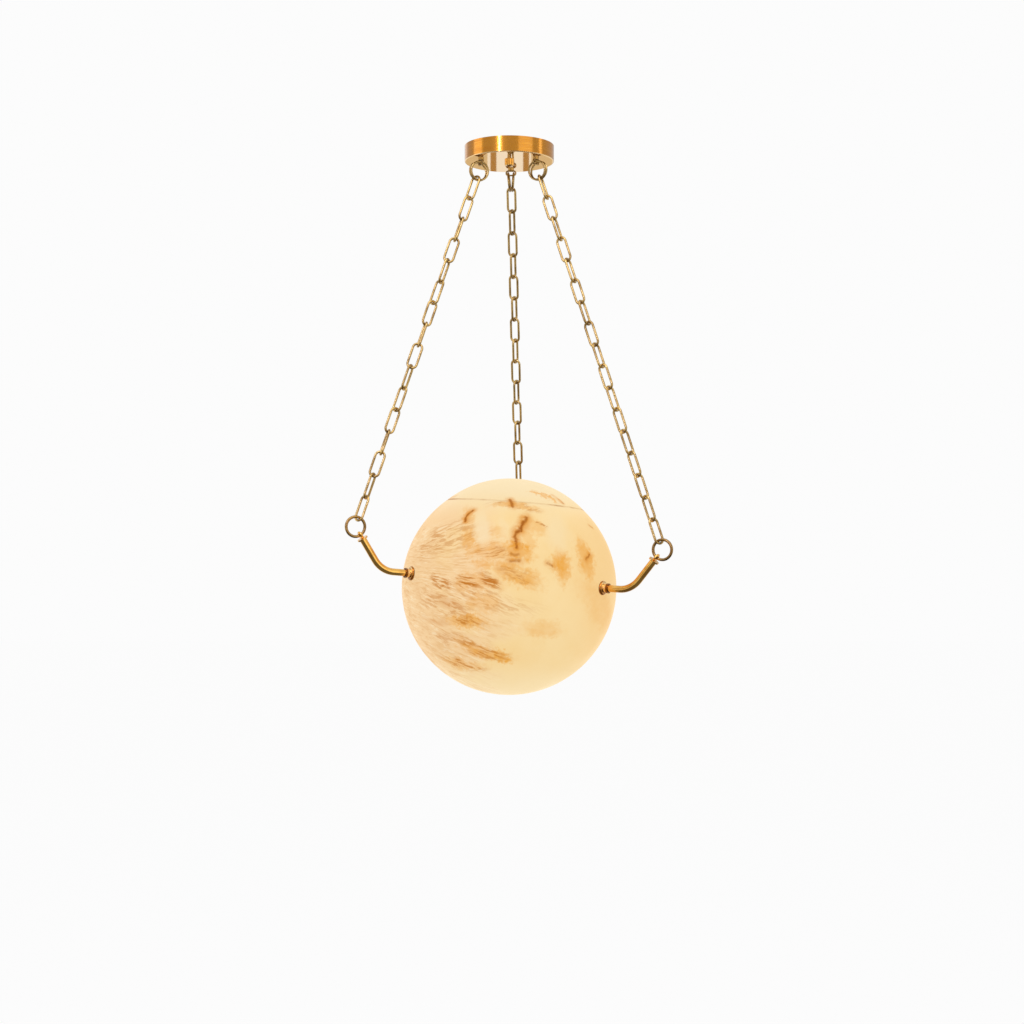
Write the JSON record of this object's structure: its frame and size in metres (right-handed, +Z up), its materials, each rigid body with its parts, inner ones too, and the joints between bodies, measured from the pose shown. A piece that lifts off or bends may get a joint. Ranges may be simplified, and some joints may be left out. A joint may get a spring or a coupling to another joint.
{
  "type": "pendant light",
  "caption": "Hollow alabaster globe with a loose lid, hung by bent brass arms and link chains from a round ceiling canopy; a lamp inside lights the stone.",
  "frame": {"origin": "on the canopy's axis in the plane of the ceiling, at the middle of the crossbar's top face", "axes": "+Z up, +X to the viewer's right along the crossbar, +Y away from the viewer"},
  "size_m": [0.4348, 0.4033, 0.7677],
  "materials": {
    "canopy_brass": "brushed side, polished underside",
    "chain_brass": "antique",
    "arm_brass": "polished",
    "zinc_steel": "zinc plated",
    "green_screw": "satin",
    "alabaster": "honed, lit from within",
    "black_rubber": "matt",
    "white_ceramic": "glazed",
    "bulb_metal": "plain",
    "bulb_glass": "frosted"
  },
  "bodies": {
    "canopy": {"ceiling_crossbar": "zinc_steel", "crossbar_nipple": "zinc_steel", "nipple_locknut": "zinc_steel", "ground_screw": "green_screw", "canopy": "canopy_brass", "canopy_nut": "canopy_brass", "eye_washers": "zinc_steel", "eye_nuts": "zinc_steel", "canopy_eye_left": "chain_brass", "canopy_eye_right": "chain_brass", "canopy_eye_back": "chain_brass"},
    "chain_left": {"canopy_rings_left": "chain_brass", "chain_left": "chain_brass"},
    "chain_right": {"canopy_rings_right": "chain_brass", "chain_right": "chain_brass"},
    "chain_back": {"canopy_rings_back": "chain_brass", "chain_back": "chain_brass"},
    "globe": {"alabaster_bowl": "alabaster", "cord_grommet": "black_rubber", "outer_gaskets": "black_rubber", "arm_rosettes": "arm_brass", "arm_collars": "arm_brass", "inner_gaskets": "black_rubber", "inner_washers": "zinc_steel", "arm_nuts": "zinc_steel", "lamp_spider": "zinc_steel", "lamp_holder": "white_ceramic", "holder_nipple": "zinc_steel", "holder_nut": "zinc_steel", "arm_left": "arm_brass", "arm_eye_left": "arm_brass", "arm_ring_left": "chain_brass", "arm_right": "arm_brass", "arm_eye_right": "arm_brass", "arm_ring_right": "chain_brass", "arm_back": "arm_brass", "arm_eye_back": "arm_brass", "arm_ring_back": "chain_brass"},
    "lid": {"alabaster_lid": "alabaster"},
    "bulb": {"bulb_cap": "bulb_metal", "bulb_envelope": "bulb_glass"}
  },
  "joints": [
    {"name": "globe_swing", "type": "hinge", "parent": "canopy", "child": "globe", "pos_m": [-0.00029, -0.00015, 0.08705], "axis": [-0.454, 0.891, 0], "range_deg": [-4, 4]},
    {"name": "chain_left_swing", "type": "hinge", "parent": "canopy", "child": "chain_left", "pos_m": [-0.0392, -0.01998, -0.0308], "axis": [-0.454, 0.891, 0], "range_deg": [-4.94, 4.94]},
    {"name": "chain_right_swing", "type": "hinge", "parent": "canopy", "child": "chain_right", "pos_m": [0.0369, -0.02396, -0.0308], "axis": [-0.454, 0.891, 0], "range_deg": [-4.89, 4.89]},
    {"name": "chain_back_swing", "type": "hinge", "parent": "canopy", "child": "chain_back", "pos_m": [0.0023, 0.04394, -0.0308], "axis": [-0.454, 0.891, 0], "range_deg": [-4.89, 4.89]},
    {"name": "lid_lift", "type": "slide", "parent": "globe", "child": "lid", "axis": [0.0768, 0.0391, 0.9963], "range_m": [0, 0.15]},
    {"name": "bulb_turn", "type": "hinge", "parent": "globe", "child": "bulb", "pos_m": [-0.00029, -0.00015, -0.6177], "axis": [0.0768, 0.0391, 0.9963], "continuous": true}
  ],
  "couplings": [
    {"joint": "chain_left_swing", "follows": "globe_swing", "ratio": 1.2347},
    {"joint": "chain_right_swing", "follows": "globe_swing", "ratio": 1.2212},
    {"joint": "chain_back_swing", "follows": "globe_swing", "ratio": 1.2212}
  ]
}
